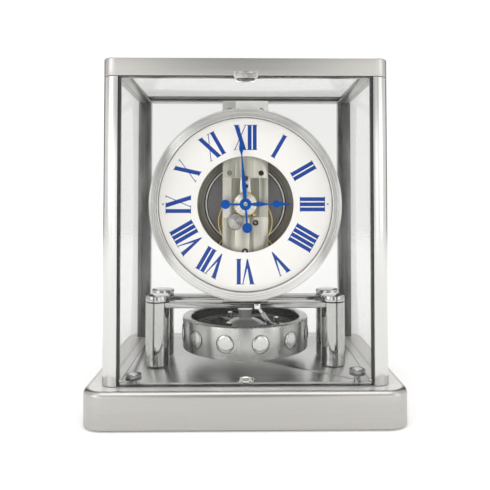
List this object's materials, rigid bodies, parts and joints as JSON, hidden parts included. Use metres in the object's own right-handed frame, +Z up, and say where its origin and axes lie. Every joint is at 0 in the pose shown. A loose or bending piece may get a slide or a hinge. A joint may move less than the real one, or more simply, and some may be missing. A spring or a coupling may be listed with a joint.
{
  "type": "atmospheric clock",
  "caption": "Torsion-pendulum mantel clock in a metal case with glass panes, a drop-front door, a numbered dial ring and a bellows drum behind it.",
  "frame": {"origin": "bottom centre, on the surface that the clock stands on, under the middle of the plinth", "axes": "+X to the viewer's right, +Y to the back of the clock, +Z up; the dial faces -Y"},
  "size_m": [0.198, 0.155, 0.225],
  "materials": {
    "satin_silver": "satin, silver plated",
    "polished_silver": "mirror polished",
    "bright_steel": "bright",
    "gilt_brass": "gilt",
    "drum_grey": "dark grey, half matt",
    "dial_white": "warm white lacquer",
    "hand_blue": "blue lacquer",
    "clear_glass": "clear, polished edges",
    "black_plastic": "matt",
    "foot_rubber": "matt"
  },
  "bodies": {
    "case": {"plinth": "satin_silver", "base_cover": "black_plastic", "foot_pad_left": "foot_rubber", "foot_pad_right": "foot_rubber", "floor_plate": "satin_silver", "corner_post_front_left": "satin_silver", "corner_post_front_right": "satin_silver", "corner_post_rear_left": "satin_silver", "corner_post_rear_right": "satin_silver", "cap_frame": "satin_silver", "top_pane": "clear_glass", "side_pane_left": "clear_glass", "side_pane_right": "clear_glass", "rear_pane": "clear_glass", "door_pin_left": "bright_steel", "door_pin_right": "bright_steel", "level_rim": "polished_silver", "level_vial": "clear_glass", "round_post_front_left": "polished_silver", "round_post_front_right": "polished_silver", "round_post_rear_left": "polished_silver", "round_post_rear_right": "polished_silver", "crossbar_front": "satin_silver", "crossbar_rear": "satin_silver", "movement_base": "satin_silver", "front_plate": "satin_silver", "rear_plate": "satin_silver", "centre_bridge": "satin_silver", "plate_pillar_lower_left": "bright_steel", "plate_pillar_lower_right": "bright_steel", "plate_pillar_upper_left": "bright_steel", "plate_pillar_upper_right": "bright_steel", "suspension_bracket": "polished_silver", "dial_ring": "dial_white", "bezel": "satin_silver", "dial_foot_lower": "bright_steel", "dial_foot_upper": "bright_steel", "bellows_drum": "drum_grey", "drum_lid": "drum_grey", "bellows": "gilt_brass"},
    "front_door": {"front_door_pane": "clear_glass", "door_tab": "polished_silver"},
    "minute_group": {"minute_hand": "hand_blue", "hand_nut": "bright_steel", "centre_arbor": "gilt_brass"},
    "hour_group": {"hour_hand": "hand_blue", "hour_wheel": "satin_silver"},
    "minute_wheel_group": {"minute_wheel": "satin_silver"},
    "intermediate_group": {"intermediate_wheel": "gilt_brass"},
    "barrel_group": {"barrel": "gilt_brass"},
    "escape_group": {"escape_wheel": "gilt_brass"},
    "pallet_group": {"pallet_lever": "bright_steel"},
    "pendulum": {"pendulum_ring": "satin_silver", "pendulum_disc": "bright_steel", "pendulum_hub": "polished_silver", "suspension_wire": "bright_steel"},
    "lock_lever_group": {"lock_lever": "polished_silver"},
    "left_screw": {"levelling_screw_left": "polished_silver"},
    "right_screw": {"levelling_screw_right": "polished_silver"},
    "pressure_plate_group": {"pressure_plate": "bright_steel"}
  },
  "joints": [
    {"name": "door_drop", "type": "hinge", "parent": "case", "child": "front_door", "pos_m": [0, -0.0657, 0.0264], "axis": [1, 0, 0], "range_deg": [0, 90]},
    {"name": "minute_turn", "type": "hinge", "parent": "case", "child": "minute_group", "pos_m": [0, -0.03, 0.134], "axis": [0, 1, 0], "continuous": true},
    {"name": "hour_turn", "type": "hinge", "parent": "case", "child": "hour_group", "pos_m": [0, -0.03, 0.134], "axis": [0, 1, 0], "continuous": true},
    {"name": "minute_wheel_turn", "type": "hinge", "parent": "case", "child": "minute_wheel_group", "pos_m": [-0.0071, -0.018, 0.1218], "axis": [0, 1, 0], "continuous": true},
    {"name": "intermediate_turn", "type": "hinge", "parent": "case", "child": "intermediate_group", "pos_m": [0, -0.011, 0.1214], "axis": [0, 1, 0], "continuous": true},
    {"name": "barrel_turn", "type": "hinge", "parent": "case", "child": "barrel_group", "pos_m": [0, -0.011, 0.09337], "axis": [0, 1, 0], "continuous": true},
    {"name": "escape_turn", "type": "hinge", "parent": "case", "child": "escape_group", "pos_m": [0, -0.011, 0.1518], "axis": [0, 1, 0], "continuous": true},
    {"name": "pallet_rock", "type": "hinge", "parent": "case", "child": "pallet_group", "pos_m": [0, -0.011, 0.166], "axis": [0, 1, 0], "range_deg": [-3, 3]},
    {"name": "pendulum_swing", "type": "hinge", "parent": "case", "child": "pendulum", "pos_m": [0, -0.001, 0.043], "axis": [0, 0, 1], "range_deg": [-225, 225], "stiffness_Nm_per_rad": 0.000005},
    {"name": "lock_swing", "type": "hinge", "parent": "case", "child": "lock_lever_group", "pos_m": [0.008, -0.0285, 0.0649], "axis": [0, 1, 0], "range_deg": [0, 22]},
    {"name": "left_screw_turn", "type": "hinge", "parent": "case", "child": "left_screw", "pos_m": [-0.07, -0.0573, 0.0264], "axis": [0, 0, 1], "range_deg": [0, 1800]},
    {"name": "right_screw_turn", "type": "hinge", "parent": "case", "child": "right_screw", "pos_m": [0.07, -0.0573, 0.029], "axis": [0, 0, 1], "range_deg": [-1800, 0]},
    {"name": "bellows_travel", "type": "slide", "parent": "case", "child": "pressure_plate_group", "axis": [0, 1, 0], "range_m": [-0.0015, 0.0015], "deforming": ["bellows"]}
  ],
  "couplings": [
    {"joint": "hour_turn", "follows": "minute_turn", "ratio": 0.083333},
    {"joint": "minute_wheel_turn", "follows": "minute_turn", "ratio": -0.125},
    {"joint": "intermediate_turn", "follows": "minute_turn", "ratio": -2.4},
    {"joint": "barrel_turn", "follows": "minute_turn", "ratio": 0.62222},
    {"joint": "escape_turn", "follows": "minute_turn", "ratio": 4}
  ]
}
